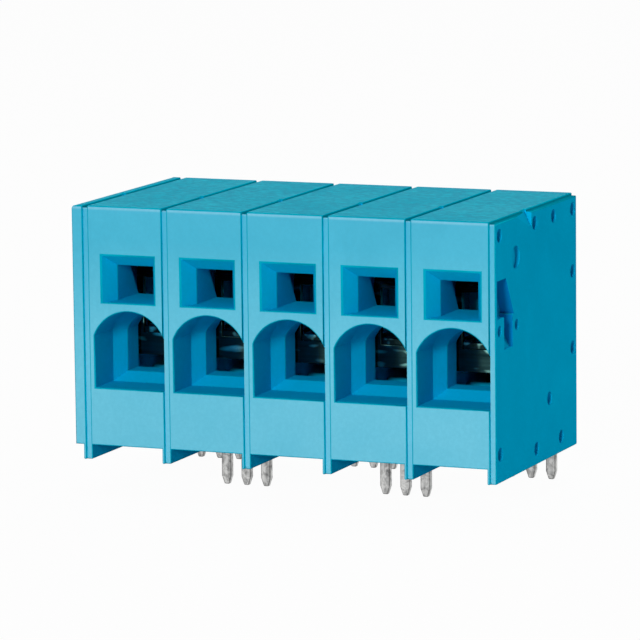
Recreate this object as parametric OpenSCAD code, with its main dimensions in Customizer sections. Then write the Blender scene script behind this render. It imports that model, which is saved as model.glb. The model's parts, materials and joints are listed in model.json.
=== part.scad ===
// Spring terminal block for a circuit board: a row of clamp modules and one end plate.
// Lengths in millimetres. Origin: on the board's surface, in the middle of the pin pattern.
// X runs along the row, Y from the wire side to the back, Z up from the board.
// Inside the modules, y is counted from the front face and z from the front face's lower edge.

/* [Block] */
// Number of poles side by side
poles = 5; // [2:1:8]
// Distance from one pole to the next
pitch = 10; // [9.6:0.1:11]
// Depth of a module, front face to back
depth = 28; // [27:0.5:32]
// Height of the front face
face_h = 28; // [27:0.5:32]
// How far the feet reach below the front face
foot_drop = 1.75; // [1.4:0.05:2.5]
// Thickness of a foot
foot_w = 1; // [0.95:0.05:1.4]
// How much lower the underside lies than the front face
underside_drop = 1.2; // [0.9:0.05:1.3]
// Depth of the step behind the front face's lower edge
front_lip = 7.6; // [7:0.1:8.5]
// Thickness of the end plate, without its joint strip
plate_t = 1.35; // [1.2:0.05:2]

/* [Joint between modules] */
// Width of the recessed strip along each joint
strip_w = 0.65; // [0.5:0.05:0.9]
// How far the strip lies below the faces beside it
strip_step = 0.3; // [0.2:0.05:0.5]
// Radius of a socket in the right wall
socket_r = 0.8; // [0.7:0.05:0.9]
// Radius of the two small sockets beside the wire entry
small_socket_r = 0.65; // [0.5:0.05:0.8]
// Radius of the large socket above the tool slot
large_socket_r = 1.3; // [1.1:0.05:1.4]
// Depth of the sockets
socket_depth = 0.45; // [0.4:0.05:0.6]
// Clearance between a peg and its socket
peg_fit = 0.05; // [0.03:0.01:0.1]
// Distance of the sockets from the top and back faces
socket_edge = 1.7; // [1.6:0.05:1.9]
// Distance of the front sockets from the front face
socket_front = 1.65; // [1.6:0.05:1.9]
// Height of the lower front socket above the front face's lower edge
low_socket = 1.5; // [1.2:0.05:1.8]
// Distances of the two middle top sockets from the back face
top_sockets = [14.7, 8.3]; // [7:0.1:16]
// Distances of the back sockets below the top face
back_sockets = [9, 18]; // [5:0.1:19]
// Distances of the floor's sockets from the back face
floor_sockets = [14.3, 5.85]; // [5:0.05:15]
// Distance of the large socket from the front face
large_socket_y = 7; // [6.6:0.1:7.4]
// Distance of the large socket below the top face
large_socket_drop = 4.8; // [4.6:0.1:5]
// Distances of the small sockets from the front face
small_sockets = [1.6, 7.2]; // [1.2:0.1:7.6]
// Distance of the small sockets below the tool slot's floor
small_socket_drop = 1.3; // [1.1:0.05:1.5]
// Plastic left round a socket inside the module
socket_wall = 0.6; // [0.4:0.05:0.8]

/* [Walls] */
// Thickness of the right wall beside the clamp's chamber
side_wall = 0.7; // [0.65:0.05:1]
// Thickness of the top wall
top_wall = 3.2; // [2.8:0.1:3.4]
// Thickness of the back wall
back_wall = 3; // [2.8:0.1:3.4]
// Thickness of the floor
floor_t = 2.6; // [2.4:0.1:3]
// Depth of the solid front block that guides the wire
front_block = 9.9; // [9.5:0.1:10.4]

/* [Wire entry] */
// Wall left beside the entry at the front face
entry_side = 0.65; // [0.5:0.01:0.8]
// Height of the entry's sill above the front face's lower edge
entry_sill = 6.75; // [6:0.05:7]
// Height of the entry from sill to crown
entry_h = 9.05; // [8.8:0.05:9.3]
// Rise of the round crown above the upright sides
crown_rise = 2.9; // [2.5:0.05:3.4]
// Depth of the straight part of the entry
entry_depth = 5; // [4:0.1:5.5]
// Depth of the funnel behind it
funnel_depth = 2; // [1.6:0.1:2.4]
// How far the funnel draws in at the sides and crown
funnel_in = 1; // [0.8:0.05:1.2]
// How far the funnel lifts the sill
sill_lift = 1; // [0.8:0.05:1.2]

/* [Tool slot] */
// Width of the slot at the front face
slot_w = 6.7; // [6.4:0.05:7.2]
// Height of the slot at the front face
slot_h = 5.5; // [5.3:0.05:5.8]
// Web between the entry's crown and the slot's floor
slot_web = 1; // [0.8:0.05:1.2]
// Depth of the slot's bevelled mouth
slot_mouth = 2.2; // [1.8:0.1:2.6]
// How far the mouth draws in at each side
slot_bevel = 1.1; // [1:0.05:1.3]
// How far the mouth draws in at the top
slot_top_bevel = 1.4; // [1.2:0.05:1.5]
// Depth of the slot's ceiling
slot_depth = 5.5; // [5.2:0.1:5.9]
// Lean of the front block's back face, from the vertical
block_lean = 30; // [25:1:33]

/* [Clamp spring] */
// Thickness of the spring strip
spring_t = 0.8; // [0.6:0.05:0.9]
// Width of the spring strip
spring_w = 7.2; // [6.8:0.1:7.6]
// Width of the window in the spring's leg
window_w = 5.6; // [5:0.1:5.8]
// Height of the cross bar below the window
cross_bar = 2.6; // [2:0.1:2.8]
// Outer radius of the spring's front bend
spring_bend = 1.6; // [1.4:0.1:1.9]
// Radius of the post that the spring is curled round
post_r = 2.72; // [2.5:0.02:2.9]
// Clearance between the post and the curl
post_fit = 0.08; // [0.05:0.01:0.1]
// Angle at which the curl ends, counted from the back
curl_end = -140; // [-160:5:-110]

/* [Current bar] */
// Thickness of the bar
bar_t = 0.8; // [0.6:0.05:0.9]
// Width of the bar
bar_w = 7.2; // [6.8:0.1:7.6]
// Outer radius of the bar's bends
bar_bend = 1.3; // [1.1:0.05:1.5]
// Height of the bar's lower run above the floor
bar_rise = 0.8; // [0.6:0.05:1]
// Length of the narrow tongue that passes through the spring's window
tongue_len = 3.4; // [3.2:0.1:4]
// How far the tongue reaches into the entry's throat
tongue_reach = 0.3; // [0.1:0.05:0.5]

/* [Solder pins] */
// Pins on each pole
pins = 3; // [2:1:3]
// Distance from one pin to the next
pin_gap = 2.5; // [2.3:0.05:2.7]
// Width of a pin
pin_w = 1.2; // [1:0.05:1.4]
// Length of a pin below the feet
pin_len = 4; // [3:0.1:5]
// Length of a pin's tapered tip
tip_len = 1; // [0.8:0.1:1.4]
// Width and thickness of a pin at its end
tip_w = 0.6; // [0.5:0.05:0.6]
// Distance of the rear row from the back face
rear_inset = 2.2; // [2:0.1:2.6]
// Distance between the front row and the rear row
row_gap = 15; // [14:0.5:16]

/* [Tool marks] */
// Depth of the slanted recess in the right wall
recess_depth = 1.6; // [1.4:0.05:1.7]
// Distance of the recess from the front face
recess_y = 0.8; // [0.75:0.05:1.1]
// Width of the recess at its top
recess_w = 2.9; // [2.6:0.05:3.2]
// Height of the recess
recess_h = 4.35; // [4.1:0.05:4.5]
// Height of the recess's foot above the tool slot's floor
recess_lift = 0.1; // [0.05:0.05:0.3]
// Distance of the groove below the recess from the front face
groove_y = 3.05; // [2.8:0.05:3.3]
// Width of the groove
groove_w = 2.75; // [2.5:0.05:3]
// Length of the groove
groove_len = 3.7; // [3.2:0.05:4]
// Length of the groove's deep upper part
groove_deep = 2.2; // [2:0.1:2.3]
// Depth of the groove where the deep part ends
groove_mid = 1.2; // [1:0.05:1.25]
// Depth of the groove at its lower end
groove_end = 0.3; // [0.2:0.05:0.35]
// Distance of the pry notch's end face from the front face
notch_y = 12.2; // [11.8:0.1:12.4]
// Length of the pry notch along the strip's top edge
notch_len = 5; // [4.5:0.1:6]
// Height of the pry notch on the wall
notch_drop = 1.8; // [1.4:0.05:2]
// Depth of the pry notch at the strip's top edge
notch_depth = 0.8; // [0.6:0.05:0.9]

/* [Clearances] */
// Gap at the end of a peg in its socket
peg_end_gap = 0.1; // [0.05:0.05:0.2]
// Gap between the tongue and each side of the window
window_gap = 0.4; // [0.2:0.05:0.5]
// Gap between the boss in the chamber and the bar
boss_gap = 0.85; // [0.7:0.05:1]
// Gap between fixed pieces that lie in a pocket
seat_gap = 0.1; // [0.05:0.01:0.2]
// Gap between the spring and the fixed pieces near it
spring_gap = 0.15; // [0.1:0.01:0.25]
// Gap between the spring's leg and the front block
leg_gap = 0.4; // [0.3:0.05:0.6]
// Room for the tool's tip between the slot's ceiling and the spring
tool_gap = 0.8; // [0.6:0.05:1]
// Gap between the curl and the back wall
curl_gap = 0.6; // [0.4:0.05:0.8]

/* [Hidden] */
$fn = 64;
// Cutters reach this far past the faces they cut, and joined solids this far into each other
over = 1;
lap = 0.3;

blue = [0.16, 0.60, 0.76];
steel = [0.62, 0.63, 0.64];
tin = [0.76, 0.76, 0.74];

// Sides of a module and the right side of its chamber
left = -pitch / 2;
right = pitch / 2;
chamber_right = right - side_wall;

// Top of the joint strip
strip_top = face_h - strip_step;

// Heights and depths of the chamber behind the front block
floor_top = floor_t - underside_drop;
floor_mid = floor_top - floor_t / 2;
chamber_top = face_h - top_wall;
chamber_back = depth - back_wall;

// Wire entry: a round crown over upright sides
entry_half = pitch / 2 - entry_side;
crown_z = entry_sill + entry_h;
crown_r = (entry_half * entry_half + crown_rise * crown_rise) / (2 * crown_rise);
crown_mid = crown_z - crown_r;
funnel_end = entry_depth + funnel_depth;

// Tool slot above the entry
slot_floor = crown_z + slot_web;
slot_top = slot_floor + slot_h;
slot_ceiling = slot_top - slot_top_bevel;
lean_foot = slot_ceiling - (front_block - slot_depth) / tan(block_lean);

// The spring's curl and leg
curl_in = post_r + post_fit;
curl_out = curl_in + spring_t;
limb_top = slot_ceiling - tool_gap;
post_z = limb_top - curl_out;
post_y = chamber_back - curl_gap - curl_out;
leg_y = front_block + leg_gap;
leg_top = limb_top - spring_bend;

// The bar under the curl, with the sheet that stops the wire
bar_top = post_z - curl_out - spring_gap;
bar_low = bar_top - bar_t;
stop_y = post_y - bar_t / 2;
run_low = floor_top + bar_rise;
run_top = run_low + bar_t;
tongue_y = front_block - tongue_reach;
tongue_w = window_w - 2 * window_gap;

// The window closes just under the bar
window_low = bar_low - spring_gap;
window_high = leg_top - seat_gap;
leg_end = window_low - cross_bar;

// Pin rows
rear_row = depth - rear_inset;
front_row = rear_row - row_gap;
row_mid = (front_row + rear_row) / 2;
pin_end = -foot_drop - pin_len;

// Boss in the chamber that carries one of the sockets
boss_r = socket_r + socket_wall;
boss_y = stop_y - boss_gap - boss_r;
boss_z = run_top + boss_gap + boss_r;

// The upper front block holds the large socket
upper_back = large_socket_y + large_socket_r + socket_wall;

// Sockets in the right wall, each with its y, z and radius; the next module has a peg for each
top_z = face_h - socket_edge;
back_y = depth - socket_edge;
joints = [
    [socket_front, low_socket, socket_r],
    [socket_front, top_z, socket_r],
    [back_y, top_z, socket_r],
    [boss_y, boss_z, socket_r],
    [large_socket_y, face_h - large_socket_drop, large_socket_r],
    for (d = top_sockets) [depth - d, top_z, socket_r],
    for (d = back_sockets) [back_y, face_h - d, socket_r],
    for (d = floor_sockets) [depth - d, floor_mid, socket_r],
    for (y = small_sockets) [y, slot_floor - small_socket_drop, small_socket_r],
];
peg_len = socket_depth - peg_end_gap;

// Height of the slanted recess on the wall
recess_low = slot_floor + recess_lift;
recess_high = recess_low + recess_h;

// Every second pole has its pins in the front row
function pin_row(k) = k % 2 == 0 ? front_row : rear_row;

// Puts a module's shape in the row, with the board's surface at the feet
module at_pole(k) {
    translate([(k - (poles + 1) / 2) * pitch, -row_mid, foot_drop]) children();
}

// Extrudes a y-z outline along the row
module along_x(from, to) {
    translate([from, 0, 0]) rotate([90, 0, 90]) linear_extrude(height = to - from) children();
}

// Extrudes an x-z outline from front to back
module along_y(from, to) {
    translate([0, to, 0]) rotate([90, 0, 0]) linear_extrude(height = to - from) children();
}

// Extrudes an x-y outline upwards
module along_z(from, to) {
    translate([0, 0, from]) linear_extrude(height = to - from) children();
}

// One quarter of a flat ring, turned so that it starts at the given angle
module quarter_ring(mid, outer, t, start) {
    translate(mid) rotate(start) intersection() {
        difference() {
            circle(r = outer);
            circle(r = outer - t);
        }
        square(outer + over);
    }
}

// Outline of a module from the side, with the lip at the foot of its front face
module body_outline() {
    polygon([
        [0, 0],
        [front_lip, 0],
        [front_lip + underside_drop, -underside_drop],
        [depth, -underside_drop],
        [depth, face_h],
        [0, face_h],
    ]);
}

// Outline of the joint strip, set back from the faces and reaching down to the board
module strip_outline() {
    translate([strip_step, -foot_drop])
        square([depth - 2 * strip_step, strip_top + foot_drop]);
}

// A slice of the block: full outline, joint strip at its right side and the foot under the joint
module slice(from, to) {
    along_x(from, to - strip_w) body_outline();
    along_x(to - strip_w - lap, to) strip_outline();
    along_x(to - foot_w, to - strip_w)
        translate([0, -foot_drop]) square([depth, foot_drop + lap]);
}

// Arched opening in x and z
module arch(half, r, sill) {
    intersection() {
        union() {
            translate([0, crown_mid]) circle(r = r);
            translate([-half, sill]) square([2 * half, crown_mid - sill]);
        }
        translate([-half, sill]) square([2 * half, crown_mid + r + over - sill]);
    }
}

// Tapered passage from the straight entry to the throat
module funnel() {
    inner = entry_half - funnel_in;
    intersection() {
        union() {
            translate([0, entry_depth, crown_mid]) rotate([-90, 0, 0])
                cylinder(h = funnel_depth, r1 = crown_r, r2 = crown_r - funnel_in);
            translate([-entry_half, entry_depth, entry_sill])
                cube([2 * entry_half, funnel_depth, crown_mid - entry_sill]);
        }
        along_z(entry_sill, crown_z) polygon([
            [-entry_half, entry_depth],
            [entry_half, entry_depth],
            [inner, funnel_end],
            [-inner, funnel_end],
        ]);
        along_x(-entry_half, entry_half) polygon([
            [entry_depth, entry_sill],
            [funnel_end, entry_sill + sill_lift],
            [funnel_end, crown_z],
            [entry_depth, crown_z],
        ]);
    }
}

module wire_entry() {
    along_y(-over, entry_depth) arch(entry_half, crown_r, entry_sill);
    funnel();
    along_y(funnel_end, front_block + over)
        arch(entry_half - funnel_in, crown_r - funnel_in, entry_sill + sill_lift);
}

module tool_slot() {
    half = slot_w / 2;
    inner = half - slot_bevel;
    side_spread = over * slot_bevel / slot_mouth;
    top_spread = over * slot_top_bevel / slot_mouth;
    intersection() {
        along_z(slot_floor, slot_top + top_spread) polygon([
            [-half - side_spread, -over],
            [half + side_spread, -over],
            [inner, slot_mouth],
            [-inner, slot_mouth],
        ]);
        along_x(-half - side_spread, half + side_spread) polygon([
            [-over, slot_floor],
            [slot_mouth, slot_floor],
            [slot_mouth, slot_ceiling],
            [-over, slot_top + top_spread],
        ]);
    }
    translate([-inner, slot_mouth, slot_floor])
        cube([2 * inner, upper_back - slot_mouth, slot_ceiling - slot_floor]);
}

// Chamber for the clamp, open at the module's left side
module chamber() {
    along_x(left - over, chamber_right) polygon([
        [front_block, floor_top],
        [front_block, lean_foot],
        [slot_depth, slot_ceiling],
        [upper_back, slot_ceiling],
        [upper_back, chamber_top],
        [chamber_back, chamber_top],
        [chamber_back, floor_top],
    ]);
}

// Room for the bar's lower run and bend, and the slot in the floor that the pins slide into from the left
module pin_pocket(row) {
    fold = bar_bend + seat_gap;
    front = min(row - fold, stop_y);
    back = max(row + fold, stop_y);
    translate([left - over, front, floor_top])
        cube([chamber_right - left + over, back - front, run_top + 2 * seat_gap - floor_top]);
    translate([left - over, row - bar_t / 2 - seat_gap, -underside_drop - over])
        cube([bar_w / 2 + seat_gap - left + over, bar_t + 2 * seat_gap, floor_t + 2 * over]);
}

module peg(y, z, r, from, to) {
    translate([from, y, z]) rotate([0, 90, 0]) cylinder(h = to - from, r = r);
}

// Corner wedge of the pry notch: its slanted face meets the wall, the strip's top and the notch's end face
module pry_notch(wall_x) {
    slant = [1 / notch_depth, 1 / notch_len, 1 / notch_drop];
    tilt = acos(slant[2] / norm(slant));
    turn = atan2(slant[1], slant[0]);
    reach = 3 * notch_len;
    intersection() {
        translate([wall_x - notch_depth - over, notch_y - notch_len - over, strip_top - notch_drop - over])
            cube([notch_depth + 2 * over, notch_len + over, notch_drop + 2 * over]);
        translate([wall_x - notch_depth, notch_y, strip_top]) rotate([0, tilt, turn])
            translate([-reach / 2, -reach / 2, 0]) cube([reach, reach, reach / 2]);
    }
}

// Everything that is let into a right wall
module wall_marks(wall_x) {
    for (j = joints) peg(j[0], j[1], j[2], wall_x - socket_depth, wall_x + over);
    foot_shift = recess_h * tan(block_lean);
    along_x(wall_x - recess_depth, wall_x + over) polygon([
        [recess_y, recess_low],
        [recess_y, recess_high],
        [recess_y + recess_w, recess_high],
        [recess_y + recess_w + foot_shift, recess_low],
    ]);
    along_y(groove_y, groove_y + groove_w) polygon([
        [wall_x - recess_depth, recess_low],
        [wall_x - groove_mid, recess_low - groove_deep],
        [wall_x - groove_end, recess_low - groove_len],
        [wall_x + over, recess_low - groove_len],
        [wall_x + over, recess_low],
    ]);
    pry_notch(wall_x);
}

module end_plate() {
    color(blue) at_pole(1) difference() {
        slice(left - strip_w - plate_t, left);
        wall_marks(left);
    }
}

module housing(k) {
    color(blue) at_pole(k) {
        difference() {
            slice(left, right);
            difference() {
                chamber();
                peg(post_y, post_z, post_r, left + spring_gap, right);
                peg(boss_y, boss_z, boss_r, left, right);
            }
            wire_entry();
            tool_slot();
            pin_pocket(pin_row(k));
            wall_marks(right);
        }
        for (j = joints) peg(j[0], j[1], j[2] - peg_fit, left - peg_len, left + lap);
    }
}

// Side view of the spring: curl, upper limb, front bend and leg
module spring_outline() {
    open_from = 90;
    open_to = 360 + curl_end;
    far = 3 * curl_out;
    translate([post_y, post_z]) difference() {
        circle(r = curl_out);
        circle(r = curl_in);
        polygon([
            [0, 0],
            for (a = [open_from, (open_from + open_to) / 2, open_to]) far * [cos(a), sin(a)],
        ]);
    }
    translate([leg_y + spring_bend, limb_top - spring_t])
        square([post_y - leg_y - spring_bend, spring_t]);
    quarter_ring([leg_y + spring_bend, leg_top], spring_bend, spring_t, 90);
    translate([leg_y, leg_end]) square([spring_t, leg_top - leg_end]);
}

module clamp_spring(k) {
    color(steel) at_pole(k) difference() {
        along_x(-spring_w / 2, spring_w / 2) spring_outline();
        translate([-window_w / 2, leg_y - over, window_low])
            cube([window_w, spring_t + 2 * over, window_high - window_low]);
    }
}

// Side view of the bar: upper run, wire stop, lower run to the pin row, and the sheet above the pins
module bar_outline(row) {
    way = row > stop_y ? 1 : -1;
    stop_mid = stop_y + bar_t / 2;
    inner = bar_bend - bar_t / 2;
    translate([tongue_y, bar_low]) square([stop_mid - inner - tongue_y, bar_t]);
    quarter_ring([stop_mid - inner, bar_top - bar_bend], bar_bend, bar_t, 0);
    translate([stop_y, run_low + bar_bend]) square([bar_t, bar_top - run_low - 2 * bar_bend]);
    quarter_ring([stop_mid + way * inner, run_low + bar_bend], bar_bend, bar_t, way > 0 ? 180 : 270);
    run_from = stop_mid + way * inner;
    run_to = row - way * inner;
    translate([min(run_from, run_to), run_low]) square([abs(run_to - run_from), bar_t]);
    quarter_ring([run_to, run_top - bar_bend], bar_bend, bar_t, way > 0 ? 0 : 90);
    translate([row - bar_t / 2, floor_mid]) square([bar_t, run_top - bar_bend - floor_mid]);
}

// A flat pin whose tip tapers on all four sides
module pin(row) {
    tip_top = pin_end + tip_len;
    top = floor_mid + lap;
    intersection() {
        along_y(row - bar_t / 2, row + bar_t / 2) polygon([
            [-tip_w / 2, pin_end],
            [tip_w / 2, pin_end],
            [pin_w / 2, tip_top],
            [pin_w / 2, top],
            [-pin_w / 2, top],
            [-pin_w / 2, tip_top],
        ]);
        along_x(-pin_w / 2, pin_w / 2) polygon([
            [row - tip_w / 2, pin_end],
            [row + tip_w / 2, pin_end],
            [row + bar_t / 2, tip_top],
            [row + bar_t / 2, top],
            [row - bar_t / 2, top],
            [row - bar_t / 2, tip_top],
        ]);
    }
}

module current_bar(k) {
    row = pin_row(k);
    color(tin) at_pole(k) {
        difference() {
            along_x(-bar_w / 2, bar_w / 2) bar_outline(row);
            for (side = [-1, 1])
                translate([side * (tongue_w + bar_w) / 2 - bar_w / 2, tongue_y - over, bar_low - over])
                    cube([bar_w, tongue_len + over, bar_t + 2 * over]);
        }
        for (i = [0 : pins - 1]) translate([(i - (pins - 1) / 2) * pin_gap, 0, 0]) pin(row);
    }
}

end_plate();
for (k = [1 : poles]) {
    housing(k);
    current_bar(k);
    clamp_spring(k);
}
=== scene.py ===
import json
import math

import bmesh
import bpy
from mathutils import Matrix, Vector


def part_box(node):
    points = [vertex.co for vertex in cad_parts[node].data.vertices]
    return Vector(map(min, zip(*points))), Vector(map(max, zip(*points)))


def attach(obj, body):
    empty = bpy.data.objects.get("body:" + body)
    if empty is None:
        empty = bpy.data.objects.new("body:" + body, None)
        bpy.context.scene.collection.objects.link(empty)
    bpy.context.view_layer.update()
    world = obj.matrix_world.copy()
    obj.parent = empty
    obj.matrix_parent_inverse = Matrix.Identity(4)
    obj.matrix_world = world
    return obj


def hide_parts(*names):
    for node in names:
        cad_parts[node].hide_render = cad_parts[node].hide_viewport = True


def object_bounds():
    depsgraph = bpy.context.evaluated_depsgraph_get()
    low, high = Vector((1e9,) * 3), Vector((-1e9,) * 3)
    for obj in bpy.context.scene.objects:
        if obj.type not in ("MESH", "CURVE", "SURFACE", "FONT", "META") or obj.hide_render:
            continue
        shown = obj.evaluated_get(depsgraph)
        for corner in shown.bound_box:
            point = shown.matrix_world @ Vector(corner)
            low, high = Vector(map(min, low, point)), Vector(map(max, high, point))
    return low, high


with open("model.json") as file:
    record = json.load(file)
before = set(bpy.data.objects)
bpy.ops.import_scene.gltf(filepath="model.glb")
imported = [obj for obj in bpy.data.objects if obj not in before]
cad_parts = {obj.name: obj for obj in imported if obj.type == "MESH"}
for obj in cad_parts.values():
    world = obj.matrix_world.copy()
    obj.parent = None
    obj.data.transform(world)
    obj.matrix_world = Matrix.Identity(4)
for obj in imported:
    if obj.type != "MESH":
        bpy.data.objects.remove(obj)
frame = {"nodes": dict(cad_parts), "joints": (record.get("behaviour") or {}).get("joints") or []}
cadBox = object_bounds()
mm = 0.001  # the frame is in metres, the sizes in the settings are in mm
poles = [{"body": joint["child"], "number": joint["child"].split("_")[1], "x": joint["pos_m"][0] / mm}
         for joint in frame["joints"]]
print("frame loaded:", len(frame["nodes"]), "pieces,", len(poles), "poles")


# small helpers for shader trees

def newMaterial(name):
    material = bpy.data.materials.new(name)
    material.use_nodes = True
    tree = material.node_tree
    return material, tree, tree.nodes["Principled BSDF"]


def put(tree, kind, values=None, **settings):
    node = tree.nodes.new(kind)
    for key, value in settings.items():
        setattr(node, key, value)
    for key, value in (values or {}).items():
        node.inputs[key].default_value = value
    return node


def feed(tree, socket, value):
    if isinstance(value, bpy.types.NodeSocket):
        tree.links.new(value, socket)
    else:
        socket.default_value = value


def objectPlace(tree):
    return put(tree, "ShaderNodeTexCoord").outputs["Object"]


def stretched(tree, vector, scale):
    node = put(tree, "ShaderNodeMapping", {"Scale": scale})
    tree.links.new(vector, node.inputs["Vector"])
    return node.outputs[0]


def noise(tree, vector, pattern):
    node = put(tree, "ShaderNodeTexNoise", {
        "Scale": pattern["scale"], "Detail": pattern["detail"],
        "Roughness": pattern["rough"], "Distortion": pattern.get("swirl", 0)})
    tree.links.new(vector, node.inputs["Vector"])
    return node.outputs["Fac"]


def spread(tree, value, span, low=0, high=1):
    node = put(tree, "ShaderNodeMapRange", {
        "From Min": span[0], "From Max": span[1], "To Min": low, "To Max": high})
    tree.links.new(value, node.inputs["Value"])
    return node.outputs[0]


def byHeight(tree, vector, span, low=0, high=1):
    place = put(tree, "ShaderNodeSeparateXYZ")
    tree.links.new(vector, place.inputs[0])
    return spread(tree, place.outputs["Z"], (span[0] * mm, span[1] * mm), low, high)


def mathNode(tree, operation, first, second):
    node = put(tree, "ShaderNodeMath", operation=operation)
    feed(tree, node.inputs[0], first)
    feed(tree, node.inputs[1], second)
    return node.outputs[0]


def mixColours(tree, amount, first, second):
    node = put(tree, "ShaderNodeMix", data_type="RGBA")
    tree.links.new(amount, node.inputs[0])
    feed(tree, node.inputs[6], first)  # 6 and 7 are the node's colours
    feed(tree, node.inputs[7], second)
    return node.outputs[2]


def rumple(tree, shader, height, strength, depth):
    bump = put(tree, "ShaderNodeBump", {"Strength": strength, "Distance": depth * mm})
    tree.links.new(height, bump.inputs["Height"])
    tree.links.new(bump.outputs[0], shader.inputs["Normal"])


# true for what the camera, a mirror or glass sees, false for what lights the object
def seenDirectly(tree):
    ray = put(tree, "ShaderNodeLightPath").outputs
    seen = mathNode(tree, "MAXIMUM", ray["Is Camera Ray"], ray["Is Glossy Ray"])
    return mathNode(tree, "MAXIMUM", seen, ray["Is Transmission Ray"])


# blue moulded plastic: satin outer faces with painted light low down and a painted highlight along the upper rim,
# matt walls, eroded tops, painted shade on the edges and seams; the spans of the painted low light and the
# painted rim are heights above the board
plastic = {
    "paintedLowLightSpan": (14.0, 26.0), "paintedLowLightLeast": 0.75, "paintedRimSpan": (29.25, 29.45),
    "flow": {"scale": 70, "detail": 4, "rough": 0.55, "swirl": 1.8}, "flowSpan": (0.3, 0.7),
    "grainDark": (0.0, 0.28, 0.45, 1), "spotSpan": (0.4, 0.66),
    "grainSpan": (0.3, 0.7), "roughDrift": 0.05, "bumpDepth": 0.03,
}
mattFinish = {
    "roughness": 0.75, "specular": 0.0, "grain": {"scale": 2600, "detail": 5, "rough": 0.62},
    "stretch": (1, 1, 1), "grainDepth": 0.10, "bump": 0.05,
}
finishes = {
    "satinBlue": {**mattFinish, "deep": (0.018, 0.42, 0.61, 1), "pale": (0.033, 0.47, 0.67, 1),
                  "roughness": 0.4, "specular": 0.75, "grainDepth": 0.12, "bump": 0.06,
                  "paintedLowLight": (0.12, 0.56, 0.74, 1), "paintedRim": (0.15, 0.54, 0.73, 1)},
    "mattBlue": {**mattFinish, "deep": (0.0, 0.43, 0.73, 1), "pale": (0.0, 0.475, 0.79, 1)},
    "erodedBlue": {**mattFinish, "deep": (0.0, 0.49, 0.64, 1), "pale": (0.03, 0.59, 0.73, 1),
                   "roughness": 0.7, "specular": 0.08, "grainDepth": 0.8, "bump": 0.5,
                   "grain": {"scale": 2400, "detail": 5, "rough": 0.62}, "stretch": (0.5, 1, 1)},
    # a darker copy of the satin blue without its sheen: painted shade on the rounded edges
    "paintedShadeEdgeBlue": {**mattFinish, "deep": (0.0, 0.38, 0.54, 1), "pale": (0.0, 0.43, 0.60, 1)},
    # painted shade on the strip's top, where the groove between modules is in shadow
    "paintedShadeSeamBlue": {**mattFinish, "deep": (0.0, 0.25, 0.36, 1), "pale": (0.0, 0.30, 0.41, 1)},
    # a paler copy of the matt blue: painted light on the step wall beside the strip, with painted shade along its
    # top
    "paintedLightStepBlue": {**mattFinish, "deep": (0.0, 0.72, 0.97, 1), "pale": (0.0, 0.78, 1.0, 1),
                 "paintedRim": (0.0, 0.33, 0.42, 1)},
    # painted shade on the walls of the right wall's pockets
    "paintedShadePocketBlue": {**mattFinish, "deep": (0.0, 0.23, 0.56, 1), "pale": (0.0, 0.26, 0.61, 1)},
}


def makePlastic(name):
    finish = finishes[name]
    material, tree, shader = newMaterial(name)
    where = objectPlace(tree)
    flow = spread(tree, noise(tree, where, plastic["flow"]), plastic["flowSpan"])
    grain = noise(tree, stretched(tree, where, finish["stretch"]), finish["grain"])
    body = mixColours(tree, flow, finish["deep"], finish["pale"])
    # painted light: the satin faces turn paler low down, varying with the flow pattern
    if "paintedLowLight" in finish:
        low = byHeight(tree, where, plastic["paintedLowLightSpan"], 1, 0)
        paintedLowLightAmount = mathNode(tree, "MULTIPLY", low, spread(tree, flow, (0, 1), plastic["paintedLowLightLeast"]))
        body = mixColours(tree, paintedLowLightAmount, body, finish["paintedLowLight"])
    # painted rim: a painted highlight along the upper rim of the satin faces, a painted shade along the top of
    # the step
    if "paintedRim" in finish:
        body = mixColours(tree, byHeight(tree, where, plastic["paintedRimSpan"]), body, finish["paintedRim"])
    spots = spread(tree, grain, plastic["spotSpan"], finish["grainDepth"], 0)
    tree.links.new(mixColours(tree, spots, body, plastic["grainDark"]), shader.inputs["Base Color"])
    smooth, rough = (finish["roughness"] + sign * plastic["roughDrift"] for sign in (-1, 1))
    tree.links.new(spread(tree, grain, plastic["grainSpan"], smooth, rough), shader.inputs["Roughness"])
    shader.inputs["Specular IOR Level"].default_value = finish["specular"]
    rumple(tree, shader, grain, finish["bump"], plastic["bumpDepth"])
    return material


# tin on the bars: mottled on the pins; inside the block a painted shade tinted by a painted reflection of the
# blue walls, with a few soft painted glints
tin = {
    "bright": (0.58, 0.58, 0.57, 1), "dull": (0.16, 0.16, 0.16, 1), "edge": 0.5, "pinRough": 0.4,
    "mottle": {"scale": 1300, "detail": 6, "rough": 0.6, "swirl": 0.8}, "mottleSpan": (0.3, 0.7),
    "scratch": {"scale": 2500, "detail": 3, "rough": 0.6}, "scratchStretch": (1, 1, 0.12),
    "scratchBase": 0.5, "shineSpan": (0.3, 0.62), "roughDrift": 0.06, "bump": 0.25, "bumpDepth": 0.015,
    # inside the block: a painted shade tinted by a painted reflection of the blue walls, and painted glints
    "insideSpan": (0.0, 4.0), "inner": (0.012, 0.03, 0.03, 1), "innerRough": 0.16,
    "paintedGlint": (0.35, 0.8, 0.72, 1), "paintedGlints": {"scale": 1000, "detail": 1, "rough": 0.5},
    "paintedGlintSpan": (0.58, 0.76),
}


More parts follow.
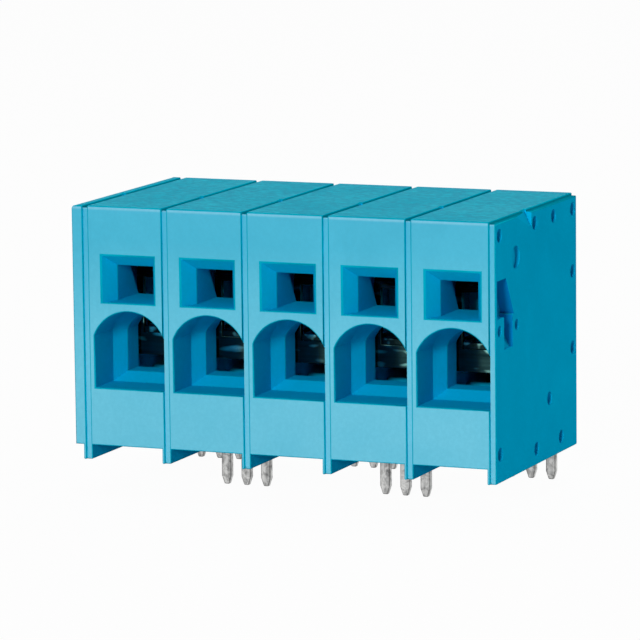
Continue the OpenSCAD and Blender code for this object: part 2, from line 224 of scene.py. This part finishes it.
def makeTin(name, shade):
    material, tree, shader = newMaterial(name)
    where = objectPlace(tree)
    mottle = noise(tree, where, tin["mottle"])
    scratch = noise(tree, stretched(tree, where, tin["scratchStretch"]), tin["scratch"])
    worn = mathNode(tree, "MULTIPLY", mottle, mathNode(tree, "ADD", scratch, tin["scratchBase"]))
    dull, bright = (tuple(c * shade for c in tin[key][:3]) + (1,) for key in ("dull", "bright"))
    onPins = mixColours(tree, spread(tree, worn, tin["shineSpan"]), dull, bright)
    # painted glints: a few soft spots of painted highlight inside the block
    paintedGlints = spread(tree, noise(tree, where, tin["paintedGlints"]), tin["paintedGlintSpan"])
    # painted shade inside the block, tinted by a painted reflection of the blue walls
    within = mixColours(tree, paintedGlints, tin["inner"], tin["paintedGlint"])
    inside = byHeight(tree, where, tin["insideSpan"])
    tree.links.new(mixColours(tree, inside, onPins, within), shader.inputs["Base Color"])
    rough = byHeight(tree, where, tin["insideSpan"], tin["pinRough"], tin["innerRough"])
    drift = spread(tree, mottle, tin["mottleSpan"], tin["roughDrift"], -tin["roughDrift"])
    tree.links.new(mathNode(tree, "ADD", rough, drift), shader.inputs["Roughness"])
    shader.inputs["Metallic"].default_value = 1
    rumple(tree, shader, mathNode(tree, "ADD", mottle, scratch), tin["bump"], tin["bumpDepth"])
    return material


# rolled spring steel, brushed across the row; its colour is a painted shade tinted by a painted reflection of the
# block's blue, with a few soft painted glints in streaks
steel = {
    "bright": (0.03, 0.08, 0.08, 1), "paintedShadeDark": (0.008, 0.03, 0.034, 1),
    "brush": {"scale": 1800, "detail": 4, "rough": 0.6}, "brushStretch": (0.05, 1, 1),
    "brushSpan": (0.3, 0.7), "roughLow": 0.1, "roughHigh": 0.18, "bump": 0.2, "bumpDepth": 0.01,
    "paintedGlint": (0.35, 0.8, 0.72, 1), "paintedGlints": {"scale": 900, "detail": 1, "rough": 0.5},
    "paintedGlintStretch": (0.35, 1, 1), "paintedGlintSpan": (0.6, 0.76),
}


def makeSteel():
    material, tree, shader = newMaterial("springSteel")
    where = objectPlace(tree)
    brush = noise(tree, stretched(tree, where, steel["brushStretch"]), steel["brush"])
    rolled = mixColours(tree, spread(tree, brush, steel["brushSpan"]), steel["paintedShadeDark"], steel["bright"])
    # painted glints: soft streaks of painted highlight along the brushing
    streaks = noise(tree, stretched(tree, where, steel["paintedGlintStretch"]), steel["paintedGlints"])
    paintedGlints = spread(tree, streaks, steel["paintedGlintSpan"])
    tree.links.new(mixColours(tree, paintedGlints, rolled, steel["paintedGlint"]), shader.inputs["Base Color"])
    rough = spread(tree, brush, steel["brushSpan"], steel["roughHigh"], steel["roughLow"])
    tree.links.new(rough, shader.inputs["Roughness"])
    shader.inputs["Metallic"].default_value = 1
    rumple(tree, shader, brush, steel["bump"], steel["bumpDepth"])
    return material


bluePlastics = [makePlastic(name) for name in finishes]
finishNumber = {name: number for number, name in enumerate(finishes)}
# the second tin is a copy at half brightness for the bars' rounded edges: painted shade
tinned = [makeTin("tinnedBar", 1), makeTin("paintedShadeTinnedEdge", tin["edge"])]
paintedShadeTinnedEdge = 1
springSteel = makeSteel()
print("materials made")


# a merged copy of a node with its edges rounded, in place of the node
rounding = {
    "sharpAngle": math.radians(25), "flatAngle": math.radians(0.5),
    "weld": 0.002, "widest": 0.5, "segments": 3,
}


def isFlat(edge):
    return edge.is_manifold and edge.calc_face_angle() < rounding["flatAngle"]


def roundedCopy(nodeName, pieceName, widthOf, materials, body, prepare=None, finishOf=None, edgeFinish=-1):
    mesh = bpy.data.meshes.new(pieceName)
    bm = bmesh.new()
    bm.from_mesh(frame["nodes"][nodeName].data)
    bmesh.ops.remove_doubles(bm, verts=bm.verts, dist=rounding["weld"] * mm)
    bmesh.ops.dissolve_limit(bm, angle_limit=rounding["flatAngle"], verts=bm.verts[:], edges=bm.edges[:])
    if prepare:
        prepare(bm)
    weight = bm.edges.layers.float.new("bevel_weight_edge")
    for edge in bm.edges:
        if edge.is_convex and edge.calc_face_angle() > rounding["sharpAngle"]:
            edge[weight] = widthOf(edge.verts[0].co / mm, edge.verts[1].co / mm) / rounding["widest"]
    bm.to_mesh(mesh)
    bm.free()
    storedNormals = mesh.attributes.get("custom_normal")  # they no longer fit the merged faces
    if storedNormals:
        mesh.attributes.remove(storedNormals)
    mesh.shade_smooth()
    mesh.set_sharp_from_angle(angle=rounding["sharpAngle"])
    for material in materials:
        mesh.materials.append(material)
    if finishOf:
        for face in mesh.polygons:
            face.material_index = finishOf(face.center / mm, face.normal)
    piece = bpy.data.objects.new(pieceName, mesh)
    bpy.context.scene.collection.objects.link(piece)
    bevel = piece.modifiers.new("roundedEdges", "BEVEL")
    bevel.limit_method = "WEIGHT"
    bevel.width = rounding["widest"] * mm
    bevel.segments = rounding["segments"]
    bevel.profile = 0.5
    bevel.material = edgeFinish
    bevel.use_clamp_overlap = False
    bevel.harden_normals = True
    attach(piece, body)
    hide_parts(nodeName)
    return piece


# modules: widths of the roundings and, in cosines, which way a face looks
module = {
    "outer": 0.12, "foot": 0.12, "slot": 0.16, "arch": 0.14, "throat": 0.08, "strip": 0.12,
    "footTop": 1.75, "slotFloor": 18.3, "mouthDepth": 8.0, "pocketX": (4.0, 4.5),
    "square": 0.9, "flush": 0.99, "edgeOn": 0.1, "tilted": 0.3, "cutSnap": 0.001,
}
near = 0.02
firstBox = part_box("housing_1")
front, back = firstBox[0].y / mm, firstBox[1].y / mm
bottom, top = firstBox[0].z / mm, firstBox[1].z / mm
halfPitch = (poles[1]["x"] - poles[0]["x"]) / 2

# the joint strip's width and step are read from the first module
firstPole = Vector((poles[0]["x"], 0, 0))
points = [vertex.co / mm - firstPole for vertex in frame["nodes"]["housing_1"].data.vertices]
stripX = max(p.x for p in points if p.y < front + near)
stripFront = min(p.y for p in points if p.x > halfPitch - near)
stripStep = stripFront - front


def onOuterFace(point):
    return point.y < front + near or point.y > back - near or point.z > top - near or point.z < bottom + near


def onStripFace(point):
    return point.y < stripFront + near or point.y > back - stripStep - near or point.z > top - stripStep - near


def moduleRounding(centre):
    def widthOf(a, b):
        leftmost = min(a.x, b.x) - centre
        outside = onOuterFace(a) and onOuterFace(b)
        if leftmost > stripX + near:
            return module["strip"] if onStripFace(a) and onStripFace(b) else 0
        if leftmost > near - halfPitch and max(a.z, b.z) < module["footTop"] + near:
            return module["foot"] if outside else 0
        if near - halfPitch < leftmost < stripX - near and max(a.y, b.y) < front + module["mouthDepth"]:
            mouth = "slot" if min(a.z, b.z) > module["slotFloor"] else "arch"
            return module[mouth] if outside else module["throat"]
        return module["outer"] if outside else 0
    return widthOf


# satin on the outer faces, eroded on the top, painted shade on the strip's top and in the right wall's pockets,
# painted light on the step beside the strip with painted shade along its top, else matt
def outerFinish(middle, normal):
    square = module["square"]
    fromPole = (middle.x + halfPitch) % (2 * halfPitch) - halfPitch
    inPocket = module["pocketX"][0] < fromPole < module["pocketX"][1] and middle.y > stripFront + near
    if inPocket and abs(normal.x) < module["edgeOn"] and normal.y < -module["tilted"]:
        return finishNumber["paintedShadePocketBlue"]
    if normal.z > square and middle.z > top - stripStep - near:
        return finishNumber["erodedBlue" if middle.z > top - near else "paintedShadeSeamBlue"]
    if normal.x > square and abs(fromPole - stripX) < near:
        return finishNumber["paintedLightStepBlue"]
    facesFront = normal.y < -square and middle.y < stripFront + near
    facesBack = normal.y > square and middle.y > back - stripStep - near
    return finishNumber["satinBlue" if facesFront or facesBack else "mattBlue"]


def frontFaces(bm):
    reach = (front + near) * mm
    return [f for f in bm.faces if f.normal.y < -module["flush"] and f.calc_center_median().y < reach]


# the face round the two mouths becomes two clean halves
def splitFront(bm, centre):
    faces = frontFaces(bm)
    parts = set(faces)
    for face in faces:
        parts.update(face.edges)
        parts.update(face.verts)
    cut = bmesh.ops.bisect_plane(bm, geom=list(parts), dist=module["cutSnap"] * mm,
                                 plane_co=(centre * mm, 0, 0), plane_no=(1, 0, 0))
    kept = set(cut["geom_cut"])
    spare = {edge for face in frontFaces(bm) for edge in face.edges if isFlat(edge) and edge not in kept}
    bmesh.ops.dissolve_edges(bm, edges=list(spare), use_verts=False)


for pole in poles:
    number, centre = pole["number"], pole["x"]
    roundedCopy("housing_" + number, "moulding_" + number, moduleRounding(centre), bluePlastics, "block",
                lambda bm: splitFront(bm, centre), outerFinish, finishNumber["paintedShadeEdgeBlue"])
print("modules rounded")

# end plate: rounded as a module is, with a wider rounding on its free top edge
plate = {"crown": 0.5, "left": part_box("end_plate")[0].x / mm, "centre": poles[0]["x"] - 2 * halfPitch}


def plateRounding(a, b):
    if max(a.x, b.x) < plate["left"] + near and min(a.z, b.z) > top - near:
        return plate["crown"]
    return moduleRounding(plate["centre"])(a, b)


def plateFinish(middle, normal):
    if normal.x < -module["square"] and middle.x < plate["left"] + near:
        return finishNumber["satinBlue"]
    return outerFinish(middle, normal)


roundedCopy("end_plate", "endMoulding", plateRounding, bluePlastics, "block",
            finishOf=plateFinish, edgeFinish=finishNumber["paintedShadeEdgeBlue"])
print("end plate rounded")

# stamped metal: the edges are only just broken
stamped = {"bar": 0.12, "spring": 0.06}
for pole in poles:
    number = pole["number"]
    roundedCopy("current_bar_" + number, "stampedBar_" + number, lambda a, b: stamped["bar"], tinned, "block",
                edgeFinish=paintedShadeTinnedEdge)
    roundedCopy("clamp_spring_" + number, "bentSpring_" + number, lambda a, b: stamped["spring"], [springSteel],
                pole["body"])
print("metal pieces rounded")

# pale floor under the pin tips, in metres
floorSet = {"size": 6.0, "colour": (0.6, 0.6, 0.6, 1), "roughness": 0.9, "glow": 0.97}


def makeFloor():
    material, tree, shader = newMaterial("paleFloor")
    shader.inputs["Base Color"].default_value = floorSet["colour"]
    shader.inputs["Roughness"].default_value = floorSet["roughness"]
    shader.inputs["Specular IOR Level"].default_value = 0
    glow = put(tree, "ShaderNodeEmission", {"Strength": 1})
    mix = put(tree, "ShaderNodeMixShader")
    tree.links.new(mathNode(tree, "MULTIPLY", seenDirectly(tree), floorSet["glow"]), mix.inputs[0])
    tree.links.new(shader.outputs[0], mix.inputs[1])
    tree.links.new(glow.outputs[0], mix.inputs[2])
    tree.links.new(mix.outputs[0], tree.nodes["Material Output"].inputs["Surface"])
    bm = bmesh.new()
    bmesh.ops.create_grid(bm, x_segments=1, y_segments=1, size=floorSet["size"] / 2,
                          matrix=Matrix.Translation((0, 0, cadBox[0].z)))
    mesh = bpy.data.meshes.new("floor")
    bm.to_mesh(mesh)
    bm.free()
    mesh.materials.append(material)
    floor = bpy.data.objects.new("floor", mesh)
    bpy.context.scene.collection.objects.link(floor)


makeFloor()

# soft studio light, in metres: a faint even room, one lamp in front and weaker ones above and behind to the right
lamps = {
    "frontLamp": {"place": (0.1, -0.96, 0.33), "size": 0.2, "power": 7.15},
    "topLamp": {"place": (-0.15, 0.15, 0.88), "size": 0.7, "power": 3.3},
    "sideLamp": {"place": (0.72, 0.6, 0.3), "size": 0.5, "power": 3.1},
}
room = {"white": (1, 1, 1, 1), "level": 0.07}


def makeLight():
    middle = (cadBox[0] + cadBox[1]) / 2
    for name, lamp in lamps.items():
        light = bpy.data.lights.new(name, "AREA")
        light.size = lamp["size"]
        light.energy = lamp["power"]
        holder = bpy.data.objects.new(name, light)
        holder.location = lamp["place"]
        holder.rotation_euler = (middle - Vector(lamp["place"])).to_track_quat("-Z", "Y").to_euler()
        bpy.context.scene.collection.objects.link(holder)
    world = bpy.data.worlds.new("room")
    world.use_nodes = True
    tree = world.node_tree
    ambient = tree.nodes["Background"]
    ambient.inputs["Color"].default_value = room["white"]
    ambient.inputs["Strength"].default_value = room["level"]
    backdrop = put(tree, "ShaderNodeBackground", {"Color": room["white"], "Strength": 1})
    mix = put(tree, "ShaderNodeMixShader")
    tree.links.new(seenDirectly(tree), mix.inputs[0])
    tree.links.new(ambient.outputs[0], mix.inputs[1])
    tree.links.new(backdrop.outputs[0], mix.inputs[2])
    tree.links.new(mix.outputs[0], tree.nodes["World Output"].inputs["Surface"])
    bpy.context.scene.world = world


makeLight()
print("floor and light made")

# camera fitted to the photo's view; its place is in mm, its clipping in metres
cameraSet = {
    "place": (199.77, -491.21, 96.23), "azimuth": 22.496, "elevation": 8.713, "roll": -0.654,
    "lens": 257.14, "sensor": 36.0, "near": 0.05, "far": 20,
}


def makeCamera():
    view = bpy.data.cameras.new("photoCamera")
    view.lens = cameraSet["lens"]
    view.sensor_width = cameraSet["sensor"]
    view.clip_start = cameraSet["near"]
    view.clip_end = cameraSet["far"]
    holder = bpy.data.objects.new("photoCamera", view)
    turn = Matrix.Rotation(math.radians(cameraSet["azimuth"]), 4, "Z")
    tilt = Matrix.Rotation(math.radians(90 - cameraSet["elevation"]), 4, "X")
    roll = Matrix.Rotation(math.radians(cameraSet["roll"]), 4, "Z")
    holder.matrix_world = Matrix.Translation(Vector(cameraSet["place"]) * mm) @ turn @ tilt @ roll
    bpy.context.scene.collection.objects.link(holder)
    bpy.context.scene.camera = holder


makeCamera()
bpy.context.scene.view_settings.view_transform = "Standard"
print("camera made")
